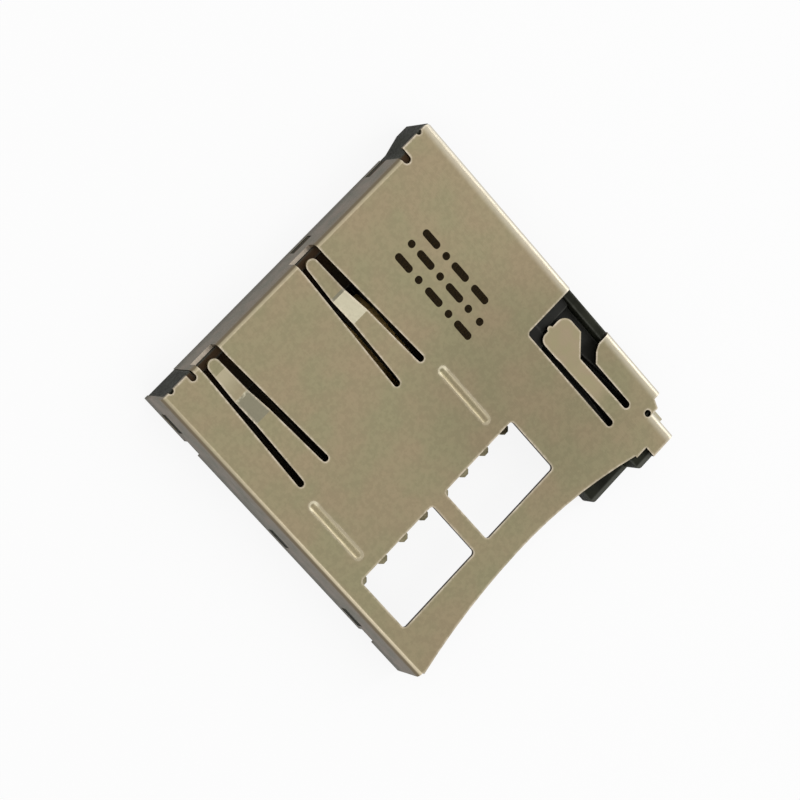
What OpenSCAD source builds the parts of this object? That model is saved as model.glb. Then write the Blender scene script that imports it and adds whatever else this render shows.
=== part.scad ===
// Push-push socket for a small flash memory card, for a circuit board.
// Millimetres. X runs to the right, Y is the way the card goes in, Z is up from the board.
// Inside the modules x is counted from the outside of the left wall,
// y from the front left corner of the cover, and z from the board.

/* [Cover] */
// Length from the front left corner to the back of the rear wall
shell_l = 13.77; // [13.5:0.01:14.3]
// Height above the circuit board
shell_h = 2; // [1.95:0.01:2.2]
// Thickness of the sheet
sheet_t = 0.15; // [0.12:0.01:0.17]
// Outside radius of the folds
fold_r = 0.22; // [0.2:0.01:0.26]
// Depth of the finger recess in the front edge, behind the front left corner
recess_d = 0.48; // [0.4:0.01:0.6]
// How far the recess's arcs end ahead of that corner, at the left and at the right
recess_ends = [0.1, 0.37];
// How far the right rear corner stands behind the rear wall
step_l = 0.2; // [0.12:0.01:0.3]
// Distance from the left wall to the rear fold
rear_fold_left = 1.46; // [1.4:0.01:1.6]
// Distance from the rear fold to the right wall
rear_fold_right = 1.71; // [1.6:0.01:1.8]
// Widths of the relief notches at the left and right ends of the rear fold
notch_w = [0.26, 0.31];
// Depth of the relief notches
notch_l = 0.35; // [0.3:0.01:0.45]
// Length of the right wall that is cut away at its rear corner
wall_cut = 0.3; // [0.25:0.01:0.35]
// Radius of the plate's right rear corner
corner_r = 0.26; // [0.2:0.01:0.3]

/* [Front corner] */
// How far the right front corner stands ahead of the left one
nose_l = 0.92; // [0.85:0.01:1.1]
// How far the front edge steps forward beside the recess
nose_step = 0.46; // [0.4:0.01:0.55]
// Width of the tab ahead of the right corner
tab_w = 1.12; // [1:0.01:1.3]
// How far the tab reaches to the right of the latch pin
tab_reach = 0.8; // [0.75:0.01:0.9]
// How far back the tab's own fold runs
tab_end = 0.25; // [0.2:0.01:0.3]
// Where the right wall starts behind the tab
wall_start = 0.59; // [0.55:0.01:0.7]
// Width of the shoulder between the tab and the right wall
shoulder_w = 0.2; // [0.15:0.01:0.25]
// Front and rear ends of the solder foot at the tab
foot_y = [-0.9, -0.3];
// Diameter of the relief hole at the rear of the tab
relief_d = 0.26; // [0.2:0.01:0.28]
// Distance from the tab's rear end to the relief hole
relief_y = 0.16; // [0.15:0.01:0.2]

/* [Windows] */
// Front edge of the two windows
window_y = 1.66; // [1.5:0.01:1.8]
// Length of the windows
window_l = 2.4; // [2.3:0.01:2.6]
// Width of the left window
window_left_w = 3.77; // [3.5:0.01:3.9]
// Width of the right window
window_right_w = 3.63; // [3.4:0.01:3.8]
// Width of the strip on the left of the windows
window_edge = 0.8; // [0.7:0.01:0.9]
// Width of the bar between the windows
window_bar = 0.65; // [0.5:0.01:0.8]
// Corner radius of the windows
window_r = 0.15; // [0.1:0.01:0.25]

/* [Card springs] */
// Where the two tapered springs leave the cover
press_y = 8.02; // [7.9:0.01:8.4]
// Free length of each tapered spring
press_l = 5.46; // [5.2:0.01:5.5]
// Width of a tapered spring where it leaves the cover
press_root_w = 1; // [0.8:0.01:1.1]
// Width of a tapered spring at its free end
press_tip_w = 0.47; // [0.45:0.01:0.6]
// Width of the slots beside the springs
press_slot = 0.26; // [0.2:0.01:0.3]
// Places of a spring's first and lowest bends, as shares of its length
press_bends = [0.5, 0.685];
// How far the springs reach down at their lowest bend
press_drop = 0.36; // [0.25:0.01:0.4]
// How far the openings behind the springs reach down the rear wall
press_notch = 0.7; // [0.6:0.01:0.8]
// Middle of the left spring
press_left_x = 2.22; // [2.1:0.01:2.4]
// Middle of the right spring
press_right_x = 7.22; // [7:0.01:7.4]

/* [Beads] */
// Length of the pressed beads that the card slides on
bead_l = 2.8; // [2.5:0.01:3]
// Width of a bead
bead_w = 0.38; // [0.32:0.01:0.44]
// Depth of a bead
bead_d = 0.07; // [0.06:0.01:0.11]
// Front end of the beads
bead_y = 4.62; // [4.5:0.01:4.8]
// Middle of the left bead
bead_left_x = 1.38; // [1.2:0.01:1.5]
// Middle of the right bead
bead_right_x = 8.15; // [8:0.01:8.3]

/* [Latch tongue] */
// Front end of the tongue
tongue_y = 1.13; // [1:0.01:1.25]
// Width of the tongue's stem
tongue_stem_w = 0.66; // [0.6:0.01:0.75]
// Width of the tongue's head
tongue_head_w = 1.38; // [1.3:0.01:1.45]
// How far the stem and the head reach to the left of the latch pin
tongue_left = [0.63, 0.66];
// How far the head reaches past the tip of the latch pin
tongue_over = 0.49; // [0.45:0.01:0.55]
// Distance from the head's shoulder back to the tip of the latch pin
tongue_neck = 0.44; // [0.4:0.01:0.5]
// Gap between the tongue's stem and the cover
tongue_gap = 0.28; // [0.24:0.01:0.32]
// Gap behind the tongue's head
tongue_back = 0.54; // [0.5:0.01:0.6]
// How far ahead of the shoulder the cover's right side is open
side_open = 0.76; // [0.7:0.01:0.8]

/* [Snap windows] */
// Length of the windows that the housing's lugs snap into
lug_l = 0.92; // [0.85:0.01:1]
// Height of those windows
lug_h = 0.36; // [0.32:0.01:0.4]
// Height of their lower edge above the board
lug_z = 0.3; // [0.27:0.01:0.33]
// Front ends of the windows in the left wall
left_lugs = [2.4, 6.4, 12.08];
// Front ends of the windows in the right wall
right_lugs = [2.22, 11.02];
// Left ends of the windows in the rear wall
rear_lugs = [7.3, 11.25];
// Front ends of the low notches under the left wall
low_notches = [1.5, 10.97];
// Length and height of the low notches
low_notch = [0.7, 0.34];

/* [Card] */
// Width of the card
card_w = 11; // [10.9:0.05:11.1]
// How much narrower the leading part of the card is
card_step = 1.3; // [1.25:0.01:1.4]
// Height of the slot that the card slides in
card_room = 1.1; // [1.05:0.01:1.12]
// Gap between the cover's left wall and the card
card_gap = 0.1; // [0.06:0.01:0.14]
// Gap between the card and the slide
card_side = 0.2; // [0.18:0.01:0.24]

/* [Contacts] */
// Number of contacts
contact_count = 8; // [8]
// Spacing of the contacts
contact_pitch = 1.1; // [1.08:0.01:1.12]
// Distance from the card's straight edge to the first contact
contact_inset = 1; // [0.95:0.01:1.05]
// Thickness of the contact strip
contact_t = 0.12; // [0.1:0.01:0.13]
// Width of a contact at its solder tail
contact_w = 0.42; // [0.36:0.01:0.46]
// Width of a contact at its tip
contact_tip_w = 0.28; // [0.24:0.01:0.34]
// Front end of the solder tails
tail_y = 3.22; // [3.1:0.01:3.35]
// How far the corners of a solder tail are cut back
tail_corner = 0.12; // [0.08:0.01:0.14]
// Length of the bend from the tail up into the crossbar
contact_bend = 0.3; // [0.28:0.01:0.34]
// Height of the contact strip in the crossbar over the housing's underside
contact_root = 0.29; // [0.26:0.01:0.32]
// Height of the contact point above the card's floor with no card
contact_rise = 0.52; // [0.42:0.01:0.58]
// Length of a contact's free arm, up to its contact point
contact_arm = 5.17; // [5:0.01:5.3]
// Length of the tip beyond the contact point
contact_tip_l = 0.9; // [0.8:0.01:1]
// How far the tip falls
contact_tip_drop = 0.42; // [0.36:0.01:0.46]

/* [Housing] */
// Gap between the housing and the board
board_gap = 0.05; // [0.03:0.01:0.08]
// Thickness of the floor under the slide
floor_t = 0.2; // [0.17:0.01:0.23]
// Thickness of the housing's right wall
side_t = 0.2; // [0.17:0.01:0.23]
// Thickness of the housing's rear wall
rear_t = 0.33; // [0.28:0.01:0.4]
// Width of the rail along the left wall
rail_w = 0.78; // [0.7:0.01:0.9]
// Front end of the rail
rail_y = 0.34; // [0.3:0.01:0.4]
// Front edge of the crossbar that holds the contacts
bar_y = 3.66; // [3.6:0.01:3.75]
// Length of the crossbar
bar_l = 1.4; // [1.3:0.01:1.45]
// Width of the slots that the contacts flex in
contact_slot_w = 0.64; // [0.6:0.01:0.7]
// Room behind the contacts' tips
contact_slot_end = 0.4; // [0.35:0.01:0.5]
// Depth of the recess that the contacts share
contact_recess = 0.15; // [0.1:0.01:0.2]
// Thickness of the housing's skin under the contacts' arms
contact_skin = 0.12; // [0.1:0.01:0.14]
// Left edge of the floor beside the slide
apron_x = 9.46; // [9.3:0.01:9.5]
// Corner radius at the front of the floor
apron_r = 0.16; // [0.12:0.01:0.35]
// How far the rear bar stays under the cover, to clear the tapered springs
bar_drop = 0.5; // [0.45:0.01:0.55]
// Rear end of the block that holds the latch pin
block_y = 0.36; // [0.34:0.01:0.4]
// Gap between that block and the card
block_gap = 0.05; // [0.04:0.01:0.08]
// Corner radius of that block
block_r = 0.16; // [0.12:0.01:0.25]
// Where the right rear corner steps out behind the rear wall, from the outside of the right wall
corner_step = [1.42, 0.62];
// Fit between the cover and the housing
fit = 0.02; // [0.01:0.005:0.03]

/* [Slide] */
// Width of the slide
slide_w = 2; // [1.95:0.01:2.2]
// Length of the slide
slide_l = 5.75; // [5.7:0.01:5.9]
// Slide travel from rest to the end of the push
travel = 4.05; // [3.95:0.01:4.1]
// Slide travel at which the card is latched
latch_travel = 3.65; // [3.55:0.01:3.7]
// Running gap around the slide
slide_gap = 0.03; // [0.02:0.005:0.05]
// Height left over the slide for the latch pin
pin_room = 0.48; // [0.45:0.01:0.5]
// Length of the arm that the card's front edge pushes on
push_arm_l = 1.9; // [1.8:0.01:2]
// Length of the raised stop on the arm
stop_l = 1.1; // [1:0.01:1.2]
// Length of the raised block at the slide's rear end
heel_l = 0.75; // [0.7:0.01:0.85]
// Gap between the cover and the raised parts of the slide
heel_gap = 0.2; // [0.17:0.01:0.22]
// Corner radius of the slide
slide_r = 0.12; // [0.1:0.01:0.15]
// Depths of the four lanes of the latch groove
lane_depths = [0.33, 0.37, 0.41, 0.35];

/* [Latch pin] */
// Diameter of the pin wire
wire_d = 0.28; // [0.25:0.01:0.3]
// Distance from the slide's left side to the middle of the pin
pin_side = 0.9; // [0.88:0.01:0.95]
// How far the pin's pivot stands ahead of the cover's front left corner
pivot_ahead = 0.15; // [0.12:0.01:0.2]
// Distance from the pivot of the pin to its tip
pin_l = 5; // [4.95:0.01:5.1]
// Centre line radius of the pin's bends
pin_bend = 0.25; // [0.2:0.01:0.3]
// Sideways throw of the pin's tip
pin_throw = 0.5; // [0.46:0.01:0.52]
// Radial clearance of the pin in its hole
pin_fit = 0.03; // [0.02:0.005:0.05]
// Gap between the slide and the pin's wire
pin_gap = 0.05; // [0.03:0.01:0.06]
// Depth that the pin's tip reaches into the groove
pin_reach = 0.29; // [0.27:0.01:0.3]
// Clearance of the pin's tip in the groove, on the diameter
lane_play = 0.09; // [0.07:0.01:0.12]

/* [Eject spring] */
// Wire diameter of the coil spring
coil_wire = 0.16; // [0.12:0.01:0.18]
// Diameter of the coil at the middle of its wire
coil_d = 1; // [0.95:0.01:1.05]
// Number of turns
coil_turns = 13; // [11:1:15]
// Distance from the middle of the latch pin to the middle of the coil
coil_side = 0.1; // [0.08:0.01:0.12]
// Length of the bosses inside the coil's ends
boss_l = 0.7; // [0.6:0.01:0.8]
// Radial clearance of the bosses in the coil
boss_fit = 0.06; // [0.04:0.01:0.08]

/* [Card lock] */
// Thickness of the lock spring on the slide
leaf_t = 0.08; // [0.06:0.01:0.1]
// Length of its free arm
leaf_arm = 2.5; // [2.4:0.01:2.55]
// Length of the root that is pressed into the slide
leaf_root = 0.55; // [0.5:0.01:0.6]
// Distance from the tip of the lock spring to its nose
leaf_nose = 0.6; // [0.5:0.01:0.7]
// How far the nose reaches into the card's notch
leaf_grip = 0.1; // [0.08:0.01:0.12]
// Distance from the slide's left side to the lock spring
leaf_inset = 0.06; // [0.05:0.01:0.08]

/* [Card switch] */
// Thickness of the two blades
blade_t = 0.1; // [0.08:0.01:0.11]
// Height of the blades
blade_h = 0.5; // [0.45:0.01:0.55]
// Height of the blades' lower edge above the card's floor
blade_rise = 0.12; // [0.1:0.01:0.15]
// Gap between the two blades
blade_gap = 0.32; // [0.28:0.01:0.36]
// Width of the pocket for the blades, beside the narrow part of the card
switch_pocket = 0.77; // [0.74:0.01:0.8]
// Gap between the slide at the end of its travel and the switch
switch_gap = 0.4; // [0.35:0.01:0.45]
// Width of the switch's solder tails
switch_tail_w = 0.4; // [0.35:0.01:0.45]
// Length of the blades' roots
switch_root = 0.45; // [0.4:0.01:0.5]

/* [Hidden] */
$fn = 48;
far = 40;
slack = 1;

metal = [0.62, 0.57, 0.45];
spring_metal = [0.72, 0.72, 0.72];
gold = [0.83, 0.68, 0.35];
black = [0.13, 0.14, 0.12];
dark_slide = [0.2, 0.2, 0.19];

// Heights
plate_z = shell_h - sheet_t;
plate_mid_z = shell_h - sheet_t / 2;
card_z = plate_z - card_room;
slide_floor_z = board_gap + floor_t;
slide_z = slide_floor_z + slide_gap;
slide_top = plate_z - pin_room;
pin_z = slide_top + pin_gap + wire_d / 2;
mid_z = (slide_z + plate_z) / 2;

// A square corner clears the round inside of a fold by a third of its radius
fold_in = fold_r - sheet_t;
wall_top = plate_z - fit - fold_in / 3;

// Places across the width
inside_x = sheet_t + fit;
card_x = sheet_t + card_gap;
card_right = card_x + card_w;
narrow_right = card_right - card_step;
slide_left = card_right + card_side;
slide_right = slide_left + slide_w;
side_x = slide_right + slide_gap;
outside_x = side_x + side_t;
shell_w = outside_x + inside_x;
pin_x = slide_left + pin_side;
tab_right = pin_x + tab_reach;
tab_left = tab_right - tab_w;
block_left = card_right + block_gap;
block_right = tab_right - sheet_t - fit;
rear_fold = [rear_fold_left, shell_w - rear_fold_right];

// Places along the length
rear_in = shell_l - sheet_t - fit;
rear_stop = rear_in - rear_t;
right_end = shell_l + step_l;
wall_front = wall_start + fit;
slide_y = block_y + fit;
slide_end = slide_y + slide_l;
pivot_y = -pivot_ahead;
tip_y = pivot_y + pin_l;

// Overall length, and where the front left corner lies in the part's own frame
total_l = nose_l + shell_l + step_l;
corner_y = nose_l - total_l / 2;

// Every piece is drawn from the front left corner and set into the part's frame here
module placed() {
    translate([-shell_w / 2, corner_y, 0]) children();
}

// A block between two corners
module block(low, high) {
    translate(low) cube(high - low);
}

// A plan outline raised between two heights
module raised(z0, z1) {
    translate([0, 0, z0]) linear_extrude(z1 - z0) children();
}

// An outline of y and z, run across the part between two x places
module across(x0, x1) {
    translate([x0, 0, 0]) rotate([90, 0, 90]) linear_extrude(x1 - x0) children();
}

// An outline of x and z, run along the part between two y places
module along(y0, y1) {
    translate([0, y1, 0]) rotate([90, 0, 0]) linear_extrude(y1 - y0) children();
}

// A rectangle with round corners
module round_rect(low, high, r) {
    translate([low.x + r, low.y]) square([high.x - low.x - 2 * r, high.y - low.y]);
    translate([low.x, low.y + r]) square([high.x - low.x, high.y - low.y - 2 * r]);
    for (x = [low.x + r, high.x - r], y = [low.y + r, high.y - r]) translate([x, y]) circle(r);
}

// A straight slot with round ends between two points
module slot(a, b, w) {
    turn = atan2(b.y - a.y, b.x - a.x);
    translate(a) circle(d = w);
    translate(b) circle(d = w);
    translate(a) rotate(turn) translate([0, -w / 2]) square([norm(b - a), w]);
}

// The outline of a bent strip: each point of the path moved half the thickness to both sides
function heading(p, i) =
    let (a = p[max(i - 1, 0)], b = p[i], c = p[min(i + 1, len(p) - 1)],
         u = i > 0 ? (b - a) / norm(b - a) : (c - b) / norm(c - b),
         v = i < len(p) - 1 ? (c - b) / norm(c - b) : u,
         m = (u + v) / norm(u + v))
    [-m.y, m.x] / (m * u);
function strip(p, t) = concat(
    [for (i = [0 : len(p) - 1]) p[i] + heading(p, i) * t / 2],
    [for (i = [len(p) - 1 : -1 : 0]) p[i] - heading(p, i) * t / 2]);

// A folded sheet's outline from outside: a plate with a rounded fold at each side
module arch(w, h, r) {
    square([w, h - r]);
    translate([r, 0]) square([w - 2 * r, h]);
    for (x = [r, w - r]) translate([x, h - r]) circle(r);
}
module folded_section(w) {
    difference() {
        arch(w, shell_h, fold_r);
        translate([sheet_t, -slack]) arch(w - 2 * sheet_t, plate_z + slack, fold_in);
    }
}

// The cover

// The finger recess in the front edge is two arcs across the card's mouth, the right one steeper
recess_right = slide_left + sheet_t / 3;
module recess_plan() {
    half = recess_right / 2;
    for (side = [0, 1]) {
        fall = recess_d + recess_ends[side];
        r = (half * half + fall * fall) / (2 * fall);
        intersection() {
            translate([half, recess_d - r]) circle(r, $fn = 180);
            translate([side * half, -far]) square([half, far + recess_d]);
        }
    }
}

// What is cut from the front of the plate
module front_cut_plan() {
    recess_plan();
    translate([-slack, -far]) square([slack + fold_r, far]);
    translate([0, -far]) square([tab_left, far - nose_step]);
    polygon([
        [tab_right - fold_r, -far], [tab_right - fold_r, tab_end], [tab_right + shoulder_w, tab_end],
        [tab_right + wall_start - tab_end, wall_start], [shell_w + slack, wall_start],
        [shell_w + slack, -far],
    ]);
}

// The corner at the right front has a fold of its own, and a solder foot that turns outwards
module nose_corner() {
    intersection() {
        along(-nose_l, tab_end) folded_section(tab_right);
        block([tab_right - 2 * fold_r, -far, 0], [far, far, far]);
    }
    block([tab_right - sheet_t, foot_y[0], 0], [shell_w, foot_y[1], sheet_t]);
}

// The plate and side walls, from front to back
module blank() {
    difference() {
        along(-nose_l, right_end) folded_section(shell_w);
        raised(-slack, shell_h + slack) front_cut_plan();
        block([-slack, shell_l, -slack], [rear_fold[1] + notch_w[1] / 2, far, shell_h + slack]);
        block([rear_fold[0], shell_l - fold_r, -slack], [rear_fold[1], far, shell_h + slack]);
        block([shell_w - fold_r, right_end - wall_cut, -slack], [far, far, shell_h - fold_r]);
    }
    nose_corner();
    rear_wall();
}

// The rear wall is folded down between two relief notches
module rear_wall() {
    intersection() {
        across(rear_fold[0], rear_fold[1]) translate([shell_l - far, 0]) folded_section(far);
        block([0, shell_l - fold_r, 0], [shell_w, far, shell_h]);
    }
}

// Relief notches at the ends of the rear fold, two small ones in the corners, and the round right corner
module rear_notches() {
    raised(-slack, shell_h + slack) {
        for (i = [0, 1]) {
            x = i == 0 ? rear_fold[0] - notch_w[0] / 2 : rear_fold[1] + notch_w[1] / 2;
            y = shell_l - notch_l;
            slot([x, y + notch_w[i] / 2], [x, shell_l + step_l + notch_w[i]], notch_w[i]);
        }
        translate([2 * fold_r, shell_l]) circle(fold_r / 2);
        translate([shell_w - 2.5 * fold_r, right_end]) circle(fold_r / 2);
        difference() {
            translate([shell_w - corner_r, right_end - corner_r]) square(slack);
            translate([shell_w - corner_r, right_end - corner_r]) circle(corner_r);
        }
    }
}

// Half the width of a tapered spring at a place along it
function press_half(y) = let (
    share = (y - press_y) / press_l)
    (press_root_w + (press_tip_w - press_root_w) * share) / 2;

// A tapered spring's slots, with the opening around its tip and down the rear wall
module press_cut_plan(x) {
    root = press_y + press_slot / 2;
    slots_end = press_y + press_l - press_tip_w / 2;
    root_half = press_half(press_y) + press_slot / 2;
    end_half = press_half(slots_end) + press_slot / 2;
    for (side = [-1, 1]) slot([x + side * root_half, root], [x + side * end_half, slots_end], press_slot);
    polygon([
        [x - root_half, root], [x - root_half + press_slot, press_y + press_slot],
        [x + root_half - press_slot, press_y + press_slot], [x + root_half, root],
        [x + end_half, slots_end], [x - end_half, slots_end],
    ]);
    open_half = end_half + press_slot / 2;
    translate([x - open_half, slots_end]) square([2 * open_half, far]);
}

// A tapered spring as it is bent: two slopes down, then up again to its round tip
module press_spring(x) {
    low_y = press_y + press_l * press_bends[1];
    path = [
        [press_y, plate_mid_z], [press_y + press_l * 0.08, plate_mid_z],
        [press_y + press_l * press_bends[0], plate_mid_z - press_drop * 0.2],
        [low_y, plate_mid_z - press_drop], [low_y + sheet_t, plate_mid_z - press_drop],
        [press_y + press_l + slack, plate_mid_z - press_drop * 0.5],
    ];
    end = press_y + press_l - press_tip_w / 2;
    intersection() {
        across(x - press_root_w, x + press_root_w) polygon(strip(path, sheet_t));
        raised(0, shell_h) {
            polygon([
                [x - press_half(press_y), press_y], [x + press_half(press_y), press_y],
                [x + press_half(end), end], [x - press_half(end), end],
            ]);
            translate([x, end]) circle(press_half(end));
        }
    }
}

// A bead is pressed down from above: a groove on top, and a ridge that the card slides on
bead_r = (bead_w * bead_w / 4 + bead_d * bead_d) / (2 * bead_d);
module bead(x, r) {
    translate([x, bead_y + bead_w / 2, shell_h - bead_d + bead_r]) {
        rotate([-90, 0, 0]) cylinder(r = r, h = bead_l - bead_w);
        sphere(r);
        translate([0, bead_l - bead_w, 0]) sphere(r);
    }
}
module bead_ridge(x) {
    intersection() {
        bead(x, bead_r + sheet_t);
        block([0, 0, 0], [shell_w, shell_l, plate_mid_z]);
    }
}

// The opening over the latch pin, open to the right, and the spring tongue that lies in it
tongue_stem = [pin_x - tongue_left[0], pin_x - tongue_left[0] + tongue_stem_w];
tongue_head = [pin_x - tongue_left[1], pin_x - tongue_left[1] + tongue_head_w];
tongue_end = tip_y + tongue_over;
tongue_shoulder = tip_y - tongue_neck;
tongue_drop = plate_z - pin_z - wire_d / 2 - fit;
opening_end = tongue_end + tongue_back;
opening_side = tongue_shoulder - side_open;
opening_left = tongue_stem[0] - tongue_gap;
opening_right = tongue_stem[1] + tongue_gap;

module tongue_opening_plan() {
    half = tongue_gap / 2;
    slant = 0.6 * side_open;
    slant_y = opening_side - slant;
    slot([opening_left + half, tongue_y + half], [opening_left + half, tongue_shoulder], tongue_gap);
    slot([opening_right - half, tongue_y + half], [opening_right - half, slant_y], tongue_gap);
    round_rect([opening_left, tongue_shoulder - slack], [tongue_stem[1], opening_end], half);
    polygon([
        [opening_left + half, tongue_y + tongue_gap], [opening_right - half, tongue_y + tongue_gap],
        [opening_right, slant_y], [opening_right + slant - half, opening_side - half],
        [opening_right + slant + half, opening_side],
        [shell_w + slack, opening_side], [shell_w + slack, opening_end],
        [opening_left + half, opening_end],
    ]);
}
module tongue_plan() {
    r = tongue_gap;
    shoulder = tongue_head[1] - tongue_stem[1];
    side_r = 1.5 * r;
    polygon([
        [tongue_stem[0], tongue_y], [tongue_stem[1], tongue_y],
        [tongue_stem[1], tongue_shoulder - shoulder], [tongue_head[1], tongue_shoulder],
        [tongue_head[1], tongue_end - side_r], [tongue_head[1] - side_r, tongue_end],
        [tongue_head[0] + r, tongue_end], [tongue_head[0], tongue_end - r],
        [tongue_head[0], tongue_shoulder], [tongue_stem[0], tongue_shoulder - r],
    ]);
    translate([tongue_head[0] + r, tongue_end - r]) circle(r);
    translate([tongue_head[1] - side_r, tongue_end - side_r]) circle(side_r);
    translate([tongue_head[0] + 2 * r, tongue_end]) circle(0.4 * r);
}
module latch_tongue() {
    path = [
        [tongue_y, plate_mid_z], [tongue_y + 2 * tongue_gap, plate_mid_z],
        [tongue_shoulder - side_open, plate_mid_z - tongue_drop],
        [tongue_end + slack, plate_mid_z - tongue_drop],
    ];
    intersection() {
        across(tongue_head[0] - slack, tongue_head[1] + slack) polygon(strip(path, sheet_t));
        raised(0, shell_h) tongue_plan();
    }
}

module cover_shell() {
    windows = [
        [window_edge, window_left_w],
        [window_edge + window_left_w + window_bar, window_right_w],
    ];
    lug_low = lug_z - fit;
    lug_high = lug_z + lug_h + fit;
    color(metal) placed() {
        difference() {
            union() {
                blank();
                bead_ridge(bead_left_x);
                bead_ridge(bead_right_x);
            }
            for (w = windows) raised(mid_z, shell_h + slack)
                round_rect([w[0], window_y], [w[0] + w[1], window_y + window_l], window_r);
            raised(shell_h - press_notch, shell_h + slack) {
                press_cut_plan(press_left_x);
                press_cut_plan(press_right_x);
            }
            raised(mid_z, shell_h + slack) tongue_opening_plan();
            bead(bead_left_x, bead_r);
            bead(bead_right_x, bead_r);
            rear_notches();
            for (y = left_lugs) block([-slack, y, lug_low], [slack, y + lug_l, lug_high]);
            for (y = right_lugs) block([shell_w - slack, y, lug_low], [far, y + lug_l, lug_high]);
            for (x = rear_lugs) block([x, shell_l - slack, lug_low], [x + lug_l, far, lug_high]);
            for (y = low_notches) block([-slack, y, -slack], [inside_x, y + low_notch[0], low_notch[1]]);
            translate([tab_right - fold_r, tab_end + relief_y, mid_z]) cylinder(d = relief_d, h = far);
        }
        press_spring(press_left_x);
        press_spring(press_right_x);
        latch_tongue();
    }
}

// The moulded housing

contact_half = contact_w / 2;
slot_half = contact_slot_w / 2;
arm_y = bar_y + bar_l;
bow_y = arm_y + contact_arm;
arm_end = bow_y + contact_tip_l + contact_slot_end;
pocket_right = narrow_right + switch_pocket;
island_y = slide_end + travel + switch_gap;
coil_x = pin_x + coil_side;
coil_z = mid_z - fit;
boss_r = coil_d / 2 - coil_wire / 2 - boss_fit;

function contact_x(i) = card_x + contact_inset + i * contact_pitch;

// The floor, before the slide's channel and the contact slots are cut
module floor_plan() {
    round_rect([inside_x, rail_y], [inside_x + rail_w, rear_in], window_r);
    translate([inside_x, bar_y]) square([apron_x - inside_x + slack, rear_in - bar_y]);
    round_rect([apron_x, -nose_l], [block_right, rear_in], apron_r);
    translate([block_right - slack, -nose_l]) square([slack, slack]);
    translate([apron_x + slack, wall_front]) square([outside_x - apron_x - slack, rear_in - wall_front]);
}

// Corners that show behind the cover, one at each side of the rear wall
module corner_plan() {
    left = rear_fold[1] + fit;
    translate([inside_x, rear_stop]) square([rear_fold[0] - inside_x - fit, shell_l - rear_stop - fit]);
    polygon([
        [left, rear_stop], [outside_x, rear_stop], [outside_x, right_end - fit],
        [shell_w - corner_step[1], right_end - fit], [shell_w - corner_step[0], shell_l - fit],
        [left, shell_l - fit],
    ]);
}

// The outer part of the right rear corner, where the right wall is cut away
module outer_corner_plan() {
    front = right_end - wall_cut + fit;
    edge = shell_w - fit;
    bevel = sheet_t / 2;
    polygon([
        [outside_x - slack, front], [edge, front], [edge, right_end - bevel],
        [edge - bevel, right_end - fit], [outside_x - bevel, right_end - fit],
    ]);
}

// The snap lugs: sloped above, square below
module lug_profile() {
    polygon([[0, 0], [sheet_t, 0], [sheet_t, lug_h * 0.45], [0, lug_h]]);
}
module lugs() {
    for (y = left_lugs) translate([inside_x, 0, lug_z]) mirror([1, 0, 0])
        along(y + fit, y + lug_l - fit) lug_profile();
    for (y = right_lugs) translate([outside_x, 0, lug_z])
        along(y + fit, y + lug_l - fit) lug_profile();
    for (x = rear_lugs) translate([0, rear_in, lug_z])
        across(x + fit, x + lug_l - fit) lug_profile();
}

// The path of a contact in y and z: tail, bend, crossbar, rising arm, contact bow and tip
contact_root_z = board_gap + contact_root;
contact_top_z = card_z + contact_rise - contact_t / 2;
contact_steps = 6;
function contact_path() = concat(
    [[tail_y, contact_t / 2], [bar_y + contact_bend, contact_t / 2],
     [bar_y + 2 * contact_bend, contact_root_z], [arm_y, contact_root_z]],
    [for (i = [1 : contact_steps]) let (s = i / contact_steps)
        [arm_y + contact_arm * s,
         contact_root_z + (contact_top_z - contact_root_z) * (1.5 - 0.5 * s) * s]],
    [for (i = [1 : contact_steps]) let (s = i / contact_steps)
        [bow_y + contact_tip_l * s, contact_top_z - contact_tip_drop * s * s]]);

module housing() {
    color(black) placed() difference() {
        union() {
            raised(board_gap, card_z) floor_plan();
            raised(board_gap, wall_top) corner_plan();
            raised(board_gap, shell_h - fold_r - fit) outer_corner_plan();
            rear_bar();
            right_side();
            front_block();
            switch_island();
            lugs();
        }
        slide_channel();
        contact_slots();
        pin_seat();
        for (x = [fixed_x, sprung_x]) switch_leg(x, fit / 2);
    }
}

// The rear bar stops the card, and carries a boss for the coil spring
module rear_bar() {
    block([inside_x, rear_stop, board_gap], [outside_x, rear_in, plate_z - bar_drop]);
    block([slide_left, rear_stop, board_gap], [outside_x, rear_in, wall_top]);
    translate([coil_x, rear_stop + rear_t / 2, coil_z]) rotate([90, 0, 0])
        cylinder(r = boss_r, h = boss_l + rear_t / 2);
}

// The right wall carries the slide, and fills the gap that the cover leaves over it
module right_side() {
    block([side_x, wall_front, board_gap], [outside_x, rear_in, wall_top]);
    block([side_x, opening_side + fit, mid_z + fit], [shell_w - 2 * fit, opening_end - fit, wall_top]);
}

// The block at the right front holds the pivot of the latch pin, and reaches behind the tab's fold
module front_block() {
    raised(board_gap, wall_top) {
        round_rect([block_left, -nose_l], [block_right, block_y], block_r);
        translate([block_right - 2 * block_r, -nose_l]) square([2 * block_r, block_y + nose_l]);
        translate([block_right - block_r, tab_end + fit])
            square([slide_right - block_right + block_r, block_y - tab_end - fit]);
    }
}

// Beside the narrow end of the card, a raised island backs the card switch
module switch_island() {
    block([pocket_right, island_y, board_gap], [slide_left - fit, rear_in, wall_top]);
}

// The channel that the slide and its spring run in
module slide_channel() {
    block([slide_left - fit, block_y, slide_floor_z], [side_x, rear_stop, card_z + fold_r]);
}

// Each contact lies in a slot in the crossbar, and flexes in a long slot behind it
module contact_slots() {
    for (i = [0 : contact_count - 1]) {
        x = contact_x(i);
        block([x - slot_half, arm_y, board_gap + contact_skin], [x + slot_half, arm_end, card_z + slack]);
        across(x - contact_half - fit / 2, x + contact_half + fit / 2)
            polygon(strip(contact_path(), contact_t + fit));
    }
    block([contact_x(0) - slot_half, arm_y, card_z - contact_recess],
          [contact_x(contact_count - 1) + slot_half, arm_end, card_z + slack]);
}

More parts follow.
